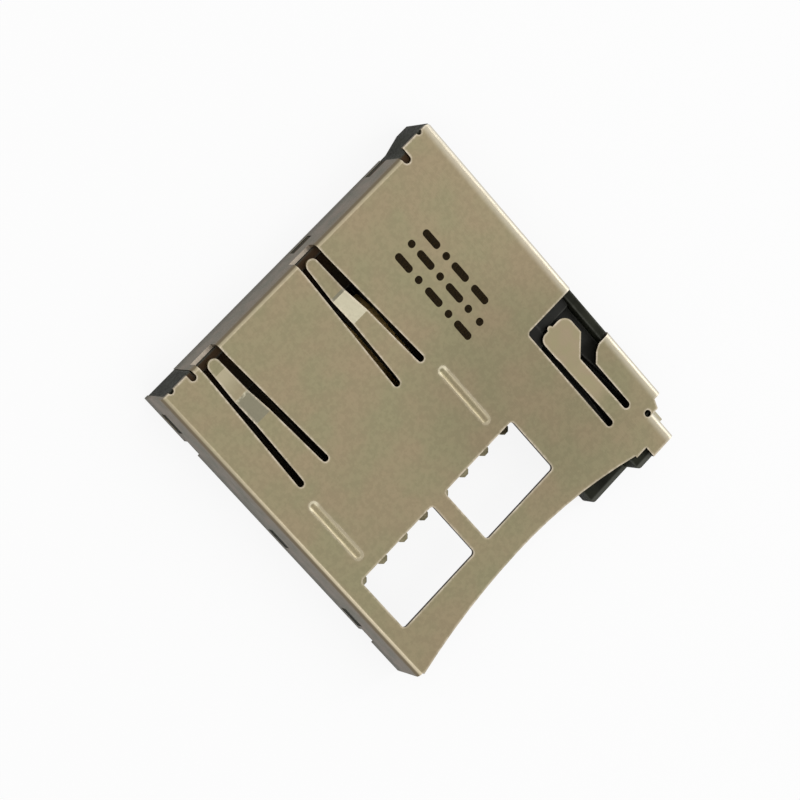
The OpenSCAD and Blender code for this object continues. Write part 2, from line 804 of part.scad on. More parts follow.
// The pin's pivot hole, and the groove that its arm swings in
module pin_seat() {
    groove = wire_d / 2 + lane_play;
    translate([pin_x, pivot_y, slide_floor_z + pin_l * 0.03]) cylinder(d = wire_d + 2 * pin_fit, h = far);
    block([pin_x - groove, pivot_y, pin_z - groove], [pin_x + groove, block_y + slack, far]);
}

// The contacts

module contact(i) {
    x = contact_x(i);
    tip = contact_tip_w / 2;
    tail_end = contact_half - tail_corner - fit;
    straight = arm_y + contact_bend;
    color(gold) placed() intersection() {
        across(x - contact_half, x + contact_half) polygon(strip(contact_path(), contact_t));
        raised(-slack, shell_h) polygon([
            [x - tail_end, tail_y - fit], [x + tail_end, tail_y - fit],
            [x + contact_half, tail_y + tail_corner], [x + contact_half, straight], [x + tip, bow_y],
            [x + tip, shell_l], [x - tip, shell_l], [x - tip, bow_y],
            [x - contact_half, straight], [x - contact_half, tail_y + tail_corner],
        ]);
    }
}

// The card switch: a fixed blade, and a spring blade that the card's edge pushes on to it

blade_z = [card_z + blade_rise, card_z + blade_rise + blade_h];
switch_y = [island_y + blade_gap, rear_stop - blade_t / 2];
fixed_x = pocket_right - blade_t - fit / 2;
sprung_x = fixed_x - blade_t - blade_gap;
switch_root_y = switch_y[1] - switch_root;
switch_tail_end = rear_in - fit;

// Each blade has a leg down through the housing; the two tails turn away from each other
function tail_x(x) = x == fixed_x ? x : x + blade_t - switch_tail_w;
module switch_leg(x, grow) {
    block([x - grow, switch_root_y - grow, -grow], [x + blade_t + grow, switch_y[1] + grow, blade_z[1]]);
    block([tail_x(x) - grow, switch_root_y - grow, -grow],
          [tail_x(x) + switch_tail_w + grow, switch_tail_end + grow, contact_t + grow]);
}
module detect_fixed_contact() {
    color(gold) placed() {
        block([fixed_x, switch_y[0], blade_z[0]], [fixed_x + blade_t, switch_y[1], blade_z[1]]);
        switch_leg(fixed_x, 0);
    }
}
module detect_spring_contact() {
    half = blade_t / 2;
    reach = switch_root_y - switch_y[0];
    nose_x = narrow_right - half;
    path = [
        [sprung_x + half, switch_y[1]], [sprung_x + half, switch_root_y],
        [nose_x, switch_root_y - reach * 0.55], [nose_x - half, switch_root_y - reach * 0.68],
        [nose_x, switch_root_y - reach * 0.8], [sprung_x + half, switch_y[0]],
    ];
    color(gold) placed() {
        raised(blade_z[0] + half, blade_z[1] - half) polygon(strip(path, blade_t));
        switch_leg(sprung_x, 0);
    }
}

// The slide that the card pushes, with the heart-shaped groove of the latch

push_arm_left = narrow_right + fold_r / 2;
push_arm_y = slide_end - push_arm_l;
push_arm_slope = heel_l - slide_r;
lane_w = wire_d + lane_play;
lane_points = [
    [pin_x, tip_y],
    [pin_x - pin_throw, tip_y - travel],
    [pin_x, tip_y - latch_travel],
    [pin_x + pin_throw, tip_y - travel],
];
leaf_x = slide_left + leaf_inset;
leaf_y = push_arm_y - slide_r - leaf_arm;

module slide_plan() {
    round_rect([slide_left, slide_y], [slide_right, slide_end], slide_r);
    polygon([
        [push_arm_left, slide_end], [push_arm_left, push_arm_y + push_arm_slope],
        [push_arm_left + push_arm_slope, push_arm_y], [slide_left + slack, push_arm_y],
        [slide_left + slack, slide_end],
    ]);
}

// The lanes are cut one after another, each to its own depth, so that the pin goes round one way
module heart_groove() {
    for (i = [0 : 3]) {
        a = lane_points[i];
        b = lane_points[(i + 1) % 4];
        raised(slide_top - lane_depths[i], slide_top + slack) slot(a, b, lane_w);
    }
}

module eject_slider() {
    color(dark_slide) placed() {
        difference() {
            raised(slide_z, slide_top) slide_plan();
            block([push_arm_left - slack, 0, 0], [slide_left, shell_l, card_z + slide_gap]);
            heart_groove();
            leaf_pocket();
        }
        raised(slide_top - heel_gap, plate_z - heel_gap)
            round_rect([slide_left, slide_end - heel_l], [slide_right, slide_end], slide_r);
        raised(slide_top - heel_gap, plate_z - heel_gap + slide_gap)
            round_rect([push_arm_left, slide_end - stop_l], [slide_left + stop_l / 2, slide_end], slide_r);
        translate([coil_x, slide_end - slide_r, coil_z]) rotate([-90, 0, 0])
            cylinder(r = boss_r, h = boss_l + slide_r);
    }
}

// The pocket beside the card that the lock spring lies in, with a slit for its root
module leaf_pocket() {
    low = card_z + slide_gap + fit;
    block([slide_left - slack, leaf_y - slide_r, low], [leaf_x + leaf_t + slide_gap, push_arm_y, far]);
    block([leaf_x - fit / 2, leaf_y, low], [leaf_x + leaf_t + fit / 2, push_arm_y + leaf_root + fit, far]);
}
module card_lock_spring() {
    half = leaf_t / 2;
    nose_y = leaf_y + leaf_nose;
    flank = leaf_nose / 4;
    path = [
        [leaf_x + half, push_arm_y + leaf_root], [leaf_x + half, nose_y + leaf_nose],
        [card_right - half, nose_y + flank], [card_right - leaf_grip + half, nose_y],
        [card_right - half, nose_y - flank], [leaf_x, leaf_y],
    ];
    color(spring_metal) placed()
        raised(card_z + leaf_grip, slide_top - leaf_inset) polygon(strip(path, leaf_t));
}

// The latch pin: a wire with both ends bent down, one in the housing, one in the groove

module cam_pin() {
    foot_z = slide_floor_z + pin_l * 0.04;
    tip_z = slide_top - pin_reach;
    bend_z = pin_z - pin_bend;
    color(spring_metal) placed() translate([pin_x, pivot_y, 0]) {
        translate([0, 0, foot_z]) cylinder(d = wire_d, h = bend_z - foot_z);
        translate([0, pin_bend, pin_z]) rotate([-90, 0, 0]) cylinder(d = wire_d, h = pin_l - 2 * pin_bend);
        translate([0, pin_l, tip_z]) cylinder(d = wire_d, h = bend_z - tip_z);
        translate([0, pin_bend, bend_z]) rotate([90, 0, -90]) wire_bend();
        translate([0, pin_l - pin_bend, bend_z]) rotate([90, 0, 90]) wire_bend();
    }
}
module wire_bend() {
    rotate_extrude(angle = 90) translate([pin_bend, 0]) circle(d = wire_d);
}

// The coil spring between the slide and the rear wall, swept along its helix

coil_sides = 8;
coil_steps = 16;
coil_rise_step = 1 / coil_steps;
coil_start = slide_end + coil_wire / 2 + fit / 2;
coil_len = rear_stop - slide_end - coil_wire - fit;

// How far the wire has risen after a number of turns, with one closed turn at each end
function coil_rise(t) =
    let (closed = coil_wire * 1.05,
         open = (coil_len - 2 * closed) / (coil_turns - 2))
    t < 1 ? closed * t :
    t > coil_turns - 1 ? coil_len - closed * (coil_turns - t) :
    closed + open * (t - 1);
function coil_ring(t) =
    let (a = 360 * t, out = [cos(a), 0, sin(a)], r = coil_d / 2,
         slope = (coil_rise(t + coil_rise_step) - coil_rise(t - coil_rise_step)) / (2 * coil_rise_step),
         run = [-sin(a) * 2 * PI * r, slope, cos(a) * 2 * PI * r],
         up = cross(out, run / norm(run)))
    [for (k = [0 : coil_sides - 1]) let (b = 360 * k / coil_sides)
        out * r + [0, coil_rise(t), 0] + (out * cos(b) + up * sin(b)) * coil_wire / 2];

module eject_spring() {
    rings = coil_turns * coil_steps;
    points = [for (i = [0 : rings]) each coil_ring(i / coil_steps)];
    last = rings * coil_sides;
    faces = concat(
        [for (i = [0 : rings - 1], k = [0 : coil_sides - 1]) let (n = (k + 1) % coil_sides)
            [i * coil_sides + k, i * coil_sides + n, (i + 1) * coil_sides + n, (i + 1) * coil_sides + k]],
        [[for (k = [coil_sides - 1 : -1 : 0]) k], [for (k = [0 : coil_sides - 1]) last + k]]);
    color(spring_metal) placed() translate([coil_x, coil_start, coil_z])
        polyhedron(points, faces);
}

module contact_1() { contact(0); }
module contact_2() { contact(1); }
module contact_3() { contact(2); }
module contact_4() { contact(3); }
module contact_5() { contact(4); }
module contact_6() { contact(5); }
module contact_7() { contact(6); }
module contact_8() { contact(7); }

cover_shell();
housing();
eject_slider();
eject_spring();
cam_pin();
card_lock_spring();
contact_1();
contact_2();
contact_3();
contact_4();
contact_5();
contact_6();
contact_7();
contact_8();
detect_fixed_contact();
detect_spring_contact();
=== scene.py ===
import math

import bmesh
import bpy
from mathutils import Matrix, Vector


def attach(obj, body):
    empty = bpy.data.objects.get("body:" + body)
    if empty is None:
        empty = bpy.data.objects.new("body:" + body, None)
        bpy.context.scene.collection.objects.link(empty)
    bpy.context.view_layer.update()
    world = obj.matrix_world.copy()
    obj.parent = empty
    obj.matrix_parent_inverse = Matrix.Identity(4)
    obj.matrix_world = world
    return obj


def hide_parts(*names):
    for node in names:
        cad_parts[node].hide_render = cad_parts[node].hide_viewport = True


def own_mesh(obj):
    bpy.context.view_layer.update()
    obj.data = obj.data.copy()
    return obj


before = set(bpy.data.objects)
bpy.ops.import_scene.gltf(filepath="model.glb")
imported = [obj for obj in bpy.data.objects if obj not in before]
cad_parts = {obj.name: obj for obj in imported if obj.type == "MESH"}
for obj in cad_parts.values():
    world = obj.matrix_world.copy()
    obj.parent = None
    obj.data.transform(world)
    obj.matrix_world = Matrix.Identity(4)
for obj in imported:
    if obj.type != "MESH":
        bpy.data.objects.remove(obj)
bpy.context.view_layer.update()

# Camera
# The part is seen from above and behind its left side, with its rear right corner
# at the top of the picture. Places are in millimetres in the part's own frame.
MM = 0.001
camera_place = Vector((-25.47, 29.67, 92.81)) * MM
camera_aim = Vector((-0.66, 1.11, 2.0)) * MM
picture_up = Vector((0.691, 0.724, 0))
lens = 125.7
sensor = 36
nearest_view = 1 * MM

backward = (camera_place - camera_aim).normalized()
rightward = picture_up.cross(backward).normalized()
upward = backward.cross(rightward)
camera_data = bpy.data.cameras.new("camera")
camera_data.lens = lens
camera_data.sensor_width = sensor
camera_data.clip_start = nearest_view
camera = bpy.data.objects.new("camera", camera_data)
camera.matrix_world = Matrix.Translation(camera_place) @ Matrix(
    (rightward, upward, backward)).transposed().to_4x4()
bpy.context.scene.collection.objects.link(camera)
bpy.context.scene.camera = camera
bpy.context.scene.view_settings.view_transform = "Standard"

# Studio light
# A pale room with one soft lamp overhead, and three long ones at the left, the rear
# and the right, which draw the bright lines along the folds of the sheet.
room_level = 0.85
overhead_level = 0.3
fold_level = 1.5
right_level = 2.5
backdrop_level = 1
white = (1, 1, 1)


def soft_lamp(name, place, size, level):
    """A rectangular lamp at a place in millimetres, turned towards the part. A level of 1 looks white."""
    data = bpy.data.lights.new(name, "AREA")
    data.shape = "RECTANGLE"
    data.size = size[0] * MM
    data.size_y = size[1] * MM
    data.energy = level * math.pi * data.size * data.size_y
    lamp = bpy.data.objects.new(name, data)
    lamp.location = Vector(place) * MM
    lamp.rotation_euler = lamp.location.to_track_quat("Z", "Y").to_euler()
    bpy.context.scene.collection.objects.link(lamp)


soft_lamp("overhead_lamp", (8, -9, 95), (44, 44), overhead_level)
soft_lamp("left_lamp", (-44, -32, 95), (14, 60), fold_level)
soft_lamp("rear_lamp", (26, 38, 95), (60, 14), fold_level)
soft_lamp("right_lamp", (78, -32, 66), (30, 60), right_level)


def add(tree, kind, **settings):
    """A new shader node with its settings."""
    node = tree.nodes.new("ShaderNode" + kind)
    for label, value in settings.items():
        setattr(node, label, value)
    return node


def connect(tree, source, target):
    """Links a socket, or sets a plain value, on an input."""
    if isinstance(source, bpy.types.NodeSocket):
        tree.links.new(source, target)
    elif isinstance(source, tuple) and target.type == "RGBA":
        target.default_value = (*source, 1)
    else:
        target.default_value = source


def worked(tree, operation, *values):
    """What a Math node makes of the values."""
    node = add(tree, "Math", operation=operation)
    for value, socket in zip(values, node.inputs):
        connect(tree, value, socket)
    return node.outputs["Value"]


def mixed_shaders(tree, share, first, second):
    """Two shaders mixed by a share."""
    node = add(tree, "MixShader")
    for source, socket in zip((share, first, second), node.inputs):
        connect(tree, source, socket)
    return node.outputs["Shader"]


def seen_directly(tree):
    """1 where a surface is seen by the camera, in a reflection or through glass, and 0 for its light."""
    path = add(tree, "LightPath").outputs
    seen = worked(tree, "MAXIMUM", path["Is Camera Ray"], path["Is Glossy Ray"])
    return worked(tree, "MAXIMUM", seen, path["Is Transmission Ray"])


def plain_glow(tree, kind, level):
    """A white glow of a level."""
    node = add(tree, kind)
    connect(tree, white, node.inputs["Color"])
    connect(tree, level, node.inputs["Strength"])
    return node.outputs[0]


world = bpy.data.worlds.new("room")
bpy.context.scene.world = world
world.use_nodes = True
tree = world.node_tree
tree.nodes.clear()
lit_room = mixed_shaders(tree, seen_directly(tree), plain_glow(tree, "Background", room_level),
                         plain_glow(tree, "Background", backdrop_level))
connect(tree, lit_room, add(tree, "OutputWorld").inputs["Surface"])

# Floor
# A plain pale sheet under the part. It shows nearly white and keeps a faint shadow.
# It is clear from below, so that the part's underside can be looked at.
floor_reach = 1200 * MM
floor_corners = 3
paper_colour = (0.82, 0.82, 0.82)
paper_glow = 0.88
floor_mesh = bmesh.new()
bmesh.ops.create_circle(floor_mesh, cap_ends=True, segments=floor_corners, radius=floor_reach)
floor_data = bpy.data.meshes.new("floor")
floor_mesh.to_mesh(floor_data)
floor_mesh.free()
floor = bpy.data.objects.new("floor", floor_data)
bpy.context.scene.collection.objects.link(floor)
paper = bpy.data.materials.new("pale_paper")
paper.use_nodes = True
tree = paper.node_tree
tree.nodes.clear()
diffuse = add(tree, "BsdfDiffuse")
connect(tree, paper_colour, diffuse.inputs["Color"])
glow_share = worked(tree, "MULTIPLY", seen_directly(tree), paper_glow)
upper_side = mixed_shaders(tree, glow_share, diffuse.outputs["BSDF"],
                           plain_glow(tree, "Emission", backdrop_level))
under_side = add(tree, "BsdfTransparent").outputs["BSDF"]
turned_away = add(tree, "NewGeometry").outputs["Backfacing"]
both_sides = mixed_shaders(tree, turned_away, upper_side, under_side)
connect(tree, both_sides, add(tree, "OutputMaterial").inputs["Surface"])
floor_data.materials.append(paper)

# Housing
# One black moulding of heat-resistant polymer, with a fine spark-eroded grain. It clips into
# the cover's side windows and carries the contacts. Its upper faces under the cover get a painted
# warm light, reflected from the cover, most of all at the rear. Its front lip gets a painted highlight,
# and its paler edges are partly rubbed and partly a painted highlight.
plastic_dark = (0.011, 0.0115, 0.0075)
plastic_light = (0.024, 0.0255, 0.017)
# The paler colour is partly rubbed wear and partly a painted highlight, on the edges and the front lip.
plastic_rubbed_and_lit = (0.085, 0.087, 0.072)
# A painted warm light, which the cover reflects onto the faces beneath it.
plastic_warm_light = (0.07, 0.042, 0.022)
plastic_roughness = (0.5, 0.66)
plastic_gloss = 0.07
plastic_mottle = 0.9
plastic_grain = 0.05
plastic_grain_height = 0.004 * MM
plastic_edge = 0.13 * MM
level_slope = 0.5
warm_light_side = 5.75
warm_light_rear = (5.6, 6.5)
warm_light_shares = (0.35, 1.0)
warm_light_front = (-2.4, -2.0)
lip_reach = (-7.24, -7.33)


def new_group(name, inputs, outputs):
    """A node group with the named inputs (name, kind, value) and outputs (name, kind)."""
    group = bpy.data.node_groups.new(name, "ShaderNodeTree")
    for label, kind, value in inputs:
        socket = group.interface.new_socket(name=label, in_out="INPUT", socket_type="NodeSocket" + kind)
        if value is not None:
            socket.default_value = value
    for label, kind in outputs:
        group.interface.new_socket(name=label, in_out="OUTPUT", socket_type="NodeSocket" + kind)
    return group, group.nodes.new("NodeGroupInput"), group.nodes.new("NodeGroupOutput")


def eased(tree, value, low, high, out_low=0.0, out_high=1.0):
    """A value eased from one range to another."""
    node = add(tree, "MapRange", interpolation_type="SMOOTHSTEP")
    for label, given in zip(("Value", "From Min", "From Max", "To Min", "To Max"),
                            (value, low, high, out_low, out_high)):
        connect(tree, given, node.inputs[label])
    return node.outputs["Result"]


def faded(tree, value, ends, out_low=0.0, out_high=1.0):
    """A value in metres eased between two places in millimetres."""
    return eased(tree, value, ends[0] * MM, ends[1] * MM, out_low, out_high)


def spread(tree, share, levels):
    """A share from 0 to 1 eased between two levels."""
    return eased(tree, share, 0.0, 1.0, *levels)


def mixed(tree, share, first, second):
    """Two colours mixed by a share. The Mix node takes colours at sockets 6 and 7."""
    node = add(tree, "Mix", data_type="RGBA")
    connect(tree, share, node.inputs["Factor"])
    connect(tree, first, node.inputs[6])
    connect(tree, second, node.inputs[7])
    return node.outputs[2]


def over(tree, value, limit):
    """1 where a value is above a limit."""
    return worked(tree, "GREATER_THAN", value, limit)


def under(tree, value, limit):
    """1 where a value is below a limit."""
    return worked(tree, "LESS_THAN", value, limit)


def jointly(tree, first, *others):
    """The product of shares, which is high where all of them are."""
    for other in others:
        first = worked(tree, "MULTIPLY", first, other)
    return first


def split(tree, vector):
    """The X, Y and Z of a vector."""
    node = add(tree, "SeparateXYZ")
    connect(tree, vector, node.inputs["Vector"])
    return node.outputs


def facing_up(tree):
    """How far a surface faces up: 1 on top, 0 on a wall, and below 0 underneath."""
    return split(tree, add(tree, "NewGeometry").outputs["Normal"])["Z"]


# Cloudy gives soft blotches and a fine grain at two sizes, from Object coordinates.
noise_details = (("Blotch", 3.0), ("Grain", 2.0))
noise_band = (0.3, 0.7)
cloudy, given, result = new_group(
    "cloudy_grain",
    (("Vector", "Vector", None), ("Blotch", "Float", 1.0), ("Grain", "Float", 0.1)),
    (("Blotch", "Float"), ("Grain", "Float")))
for label, detail in noise_details:
    noise = add(cloudy, "TexNoise")
    connect(cloudy, detail, noise.inputs["Detail"])
    connect(cloudy, given.outputs["Vector"], noise.inputs["Vector"])
    connect(cloudy, worked(cloudy, "DIVIDE", 1 / MM, given.outputs[label]), noise.inputs["Scale"])
    connect(cloudy, eased(cloudy, noise.outputs["Fac"], *noise_band), result.inputs[label])

# This group finds the edges and rounds their shading. Its mask gives rubbed wear on the contacts, and a
# painted edge highlight on the plastic and the cover's rims.
edge_samples = 6
edge_turn = (0.998, 0.92)
edge_break_grain = (0.1, 0.6)
edge_break_shares = (0.55, 1.0)
worn_and_lit, given, result = new_group(
    "worn_and_lit_edges",
    (("Width", "Float", 0.0), ("Grain", "Float", 0.5)),
    (("Mask", "Float"), ("Normal", "Vector")))
rounded = add(worn_and_lit, "Bevel", samples=edge_samples)
turn = add(worn_and_lit, "VectorMath", operation="DOT_PRODUCT")
connect(worn_and_lit, given.outputs["Width"], rounded.inputs["Radius"])
connect(worn_and_lit, rounded.outputs["Normal"], turn.inputs[0])
connect(worn_and_lit, add(worn_and_lit, "NewGeometry").outputs["Normal"], turn.inputs[1])
near = eased(worn_and_lit, turn.outputs["Value"], *edge_turn)
broken = eased(worn_and_lit, given.outputs["Grain"], *edge_break_grain, *edge_break_shares)
connect(worn_and_lit, jointly(worn_and_lit, near, broken), result.inputs["Mask"])
connect(worn_and_lit, rounded.outputs["Normal"], result.inputs["Normal"])


def new_finish(name):
    """An empty material, its tree, its shader and its Object coordinates."""
    material = bpy.data.materials.new(name)
    material.use_nodes = True
    tree = material.node_tree
    return material, tree, tree.nodes["Principled BSDF"], add(tree, "TexCoord").outputs["Object"]


def use_group(tree, group, **values):
    """A group placed in a material with its own values."""
    node = add(tree, "Group", node_tree=group)
    for label, value in values.items():
        connect(tree, value, node.inputs[label])
    return node.outputs


def bumped(tree, shader, normal, height, depth):
    """A fine relief of a depth in metres, on top of a normal."""
    node = add(tree, "Bump")
    connect(tree, depth, node.inputs["Distance"])
    connect(tree, height, node.inputs["Height"])
    if normal is not None:
        connect(tree, normal, node.inputs["Normal"])
    connect(tree, node.outputs["Normal"], shader.inputs["Normal"])


def dress(material, *nodes):
    """Gives carried-over pieces their finish."""
    for node in nodes:
        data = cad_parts[node].data
        data.materials.clear()
        data.materials.append(material)


def sheltered(tree, place):
    """How far the upper faces under the cover take a painted warm light reflected from it, and the lip a
    painted highlight.
    """
    axes = split(tree, place)
    upper = over(tree, facing_up(tree), level_slope)
    middle = under(tree, worked(tree, "ABSOLUTE", axes["X"]), warm_light_side * MM)
    warm_lit = jointly(tree, upper, middle, faded(tree, axes["Y"], warm_light_rear, *warm_light_shares),
                     faded(tree, axes["Y"], warm_light_front))
    return warm_lit, jointly(tree, upper, faded(tree, axes["Y"], lip_reach))


def moulded(name, dark, light, worn, roughness, grain, depth, gloss, warm=None):
    """Moulded black plastic: a cloudy tone, a fine grain and paler edges, partly rubbed and partly a
    painted highlight.
    """
    material, tree, shader, place = new_finish(name)
    cloud = use_group(tree, cloudy, Vector=place, Blotch=plastic_mottle, Grain=grain)
    edge = use_group(tree, worn_and_lit, Width=plastic_edge, Grain=cloud["Blotch"])
    tone = mixed(tree, cloud["Blotch"], dark, light)
    # Painted warm light on the faces under the cover, and a painted highlight on the front lip.
    if warm is not None:
        warm_lit, lip_highlight = sheltered(tree, place)
        tone = mixed(tree, lip_highlight, mixed(tree, warm_lit, tone, warm), worn)
    # The paler edges are partly rubbed wear and partly a painted highlight.
    connect(tree, mixed(tree, edge["Mask"], tone, worn), shader.inputs["Base Color"])
    connect(tree, spread(tree, cloud["Grain"], roughness), shader.inputs["Roughness"])
    connect(tree, gloss, shader.inputs["Specular IOR Level"])
    bumped(tree, shader, edge["Normal"], cloud["Grain"], depth)
    return material


black_plastic = moulded("black_plastic", plastic_dark, plastic_light, plastic_rubbed_and_lit,
                        plastic_roughness, plastic_grain, plastic_grain_height, plastic_gloss,
                        plastic_warm_light)
dress(black_plastic, "housing")

# Contacts
# Eight spring fingers stamped from copper alloy strip and pressed into the housing.
# The arms are gold-plated, and the solder tails in front are dull tin.
gold_bright = (0.47, 0.32, 0.12)
gold_deep = (0.36, 0.235, 0.085)
gold_worn = (0.7, 0.62, 0.42)
tin_bright = (0.3, 0.265, 0.17)
tin_dull = (0.17, 0.15, 0.09)
tin_worn = (0.1, 0.085, 0.05)
tin_ends = (-2.95, -2.6)
strip_wear = 0.5
strip_mottle = 0.35
strip_grain = 0.03
strip_grain_height = 0.0015 * MM
strip_edge = 0.03 * MM
strip_roughness = (0.28, 0.42)
gold_strip, tree, shader, place = new_finish("gold_strip")
cloud = use_group(tree, cloudy, Vector=place, Blotch=strip_mottle, Grain=strip_grain)
edge = use_group(tree, worn_and_lit, Width=strip_edge, Grain=cloud["Blotch"])
gilt = faded(tree, split(tree, place)["Y"], tin_ends)
gold = mixed(tree, cloud["Blotch"], gold_deep, gold_bright)
tin = mixed(tree, cloud["Blotch"], tin_dull, tin_bright)
tone = mixed(tree, gilt, tin, gold)
worn = mixed(tree, gilt, tin_worn, gold_worn)
wear = jointly(tree, edge["Mask"], strip_wear)
connect(tree, mixed(tree, wear, tone, worn), shader.inputs["Base Color"])
connect(tree, spread(tree, cloud["Grain"], strip_roughness), shader.inputs["Roughness"])
shader.inputs["Metallic"].default_value = 1
bumped(tree, shader, edge["Normal"], cloud["Grain"], strip_grain_height)
dress(gold_strip, *(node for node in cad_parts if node.startswith("contact")))

# Card switch
# Two blades of the same strip, stood on edge behind the card, that the card presses together.
# Their tails are soldered to the board, and they keep the plain gold of the strip.
dress(gold_strip, "detect_fixed_contact", "detect_spring_contact")

# Slide
# A dark moulding that the card's front edge pushes back, with a heart-shaped groove on top.
# It runs between the housing's side wall and the card, and wears smoother than the housing.
slide_dark = (0.012, 0.012, 0.01)
slide_light = (0.024, 0.024, 0.021)
# The paler edge colour is partly rubbed wear and partly a painted highlight.
slide_rubbed_and_lit = (0.07, 0.07, 0.062)
slide_roughness = (0.28, 0.42)
slide_grain = 0.08
slide_grain_height = 0.0015 * MM
slide_gloss = 0.12
slide_plastic = moulded("slide_plastic", slide_dark, slide_light, slide_rubbed_and_lit,
                        slide_roughness, slide_grain, slide_grain_height, slide_gloss)
dress(slide_plastic, "eject_slider")

# Card lock leaf
# A small leaf of bright spring steel pressed into the slide, whose nose grips the card's notch.
# Its rolling lines run along the leaf.
steel_bright = (0.6, 0.59, 0.56)
steel_dull = (0.4, 0.39, 0.37)
steel_mottle = 0.5
steel_grain = 0.04
steel_grain_height = 0.0008 * MM
leaf_lines = (1.0, 0.06, 1.0)
leaf_roughness = (0.2, 0.36)


def stretched(tree, place, lines):
    """Coordinates that draw a grain out into lines. Lines gives the grain's share along each axis."""
    node = add(tree, "Mapping")
    connect(tree, place, node.inputs["Vector"])
    connect(tree, lines, node.inputs["Scale"])
    return node.outputs["Vector"]


def bright_steel(name, lines, roughness):
    """Spring steel with fine drawing or rolling lines."""
    material, tree, shader, place = new_finish(name)
    cloud = use_group(tree, cloudy, Vector=stretched(tree, place, lines), Blotch=steel_mottle,
                      Grain=steel_grain)
    connect(tree, mixed(tree, cloud["Blotch"], steel_dull, steel_bright), shader.inputs["Base Color"])
    connect(tree, spread(tree, cloud["Grain"], roughness), shader.inputs["Roughness"])
    shader.inputs["Metallic"].default_value = 1
    bumped(tree, shader, None, cloud["Grain"], steel_grain_height)
    return material


dress(bright_steel("leaf_steel", leaf_lines, leaf_roughness), "card_lock_spring")

# Latch pin
# A bent steel wire that lies over the slide. One end turns in the housing,
# and the other runs in the heart groove under the cover's spring tongue.
pin_lines = (1.0, 0.06, 1.0)
pin_roughness = (0.14, 0.26)
dress(bright_steel("pin_steel", pin_lines, pin_roughness), "cam_pin")

# Eject spring
# A coil of drawn spring wire with its end turns closed. It stands on the housing's boss
# at the rear and pushes the slide back to the front.
coil_wire = 0.08
coil_radius = 0.5
coil_centre = (5.525, 1.045)
coil_ends = (-0.305, 6.655)
coil_turns = 13
coil_end_turns = 1
coil_end_pitch = 0.17
coil_steps = 20
coil_sides = 8
coil_lines = (1.0, 0.3, 1.0)
coil_roughness = (0.18, 0.3)
coil = bmesh.new()
bmesh.ops.create_circle(
    coil, cap_ends=True, segments=coil_sides, radius=coil_wire,
    matrix=Matrix.Translation((coil_centre[0] + coil_radius, coil_ends[0], coil_centre[1])))
open_turns = coil_turns - 2 * coil_end_turns
open_pitch = (coil_ends[1] - coil_ends[0] - 2 * coil_end_turns * coil_end_pitch) / open_turns
closed_end = (coil_end_turns, coil_end_pitch)
last = coil.verts[:] + coil.edges[:] + coil.faces[:]
for turns, pitch in (closed_end, (open_turns, open_pitch), closed_end):
    last = bmesh.ops.spin(
        coil, geom=last, cent=(coil_centre[0], 0, coil_centre[1]), axis=(0, 1, 0),
        dvec=(0, pitch / coil_steps, 0), angle=turns * math.tau, steps=turns * coil_steps,
        use_duplicate=False)["geom_last"]
bmesh.ops.recalc_face_normals(coil, faces=coil.faces)
for face in coil.faces:
    face.smooth = True


def finished(shape, name, material, body):
    """A mesh drawn in millimetres made a piece in metres, with its finish and body."""
    bmesh.ops.scale(shape, vec=(MM, MM, MM), verts=shape.verts)
    data = bpy.data.meshes.new(name)
    shape.to_mesh(data)
    shape.free()
    data.materials.append(material)
    piece = bpy.data.objects.new(name, data)
    bpy.context.scene.collection.objects.link(piece)
    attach(piece, body)
    return piece


coil_steel = bright_steel("drawn_wire", coil_lines, coil_roughness)
coil_piece = finished(coil, "wound_spring", coil_steel, "socket")
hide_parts("eject_spring")
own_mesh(coil_piece)

# Cover
# One sheet of stainless steel, stamped, bent down on three sides and clipped over the housing.
# Its plate is cloudy and softly brushed, the folds get a painted highlight, and the walls a painted
# shade.
sheet_grain = 0.03
sheet_lines = (1.0, 0.08, 1.0)
sheet_grain_height = 0.0008 * MM
sheet_roughness = (0.32, 0.42)
sheet_edge_tint = (0.7, 0.7, 0.7)
blotch_size = 1.8
speck_size = 0.16
fleck_size = 0.6
satin_sheet, tree, shader, place = new_finish("satin_sheet")
axes = split(tree, place)
slope = facing_up(tree)
cloud = use_group(tree, cloudy, Vector=place, Blotch=blotch_size, Grain=speck_size)
flecks = use_group(tree, cloudy, Vector=place, Blotch=fleck_size, Grain=sheet_grain)
lines = use_group(tree, cloudy, Vector=stretched(tree, place, sheet_lines), Blotch=speck_size,
                  Grain=sheet_grain)


def within(value, low, high):
    """1 where a value in metres lies between two places in millimetres."""
    return jointly(tree, over(tree, value, low * MM), under(tree, value, high * MM))


def patch(middle, half, ends):
    """1 in an upright box around a line along Y."""
    return jointly(tree, within(axes["X"], middle - half, middle + half), within(axes["Y"], *ends))


# The plate varies between a green and a pink grey. It is speckled all over, and a painted shade
# darkens it around one place near its middle.
plate_green = (0.258, 0.232, 0.138)
plate_pink = (0.284, 0.229, 0.143)
speck_levels = (0.955, 1.045)
shade_middle = (3.4, -2.2, 2.0)
shade_reach = (6.0, 2.0)
shade_level = 0.87
span = add(tree, "VectorMath", operation="DISTANCE")
connect(tree, place, span.inputs[0])
connect(tree, tuple(Vector(shade_middle) * MM), span.inputs[1])
middle_shade = faded(tree, span.outputs["Value"], shade_reach, 1.0, shade_level)
plate = add(tree, "HueSaturation")
connect(tree, mixed(tree, cloud["Blotch"], plate_green, plate_pink), plate.inputs["Color"])
connect(tree, jointly(tree, middle_shade, spread(tree, cloud["Grain"], speck_levels)), plate.inputs["Value"])
tone = plate.outputs["Color"]

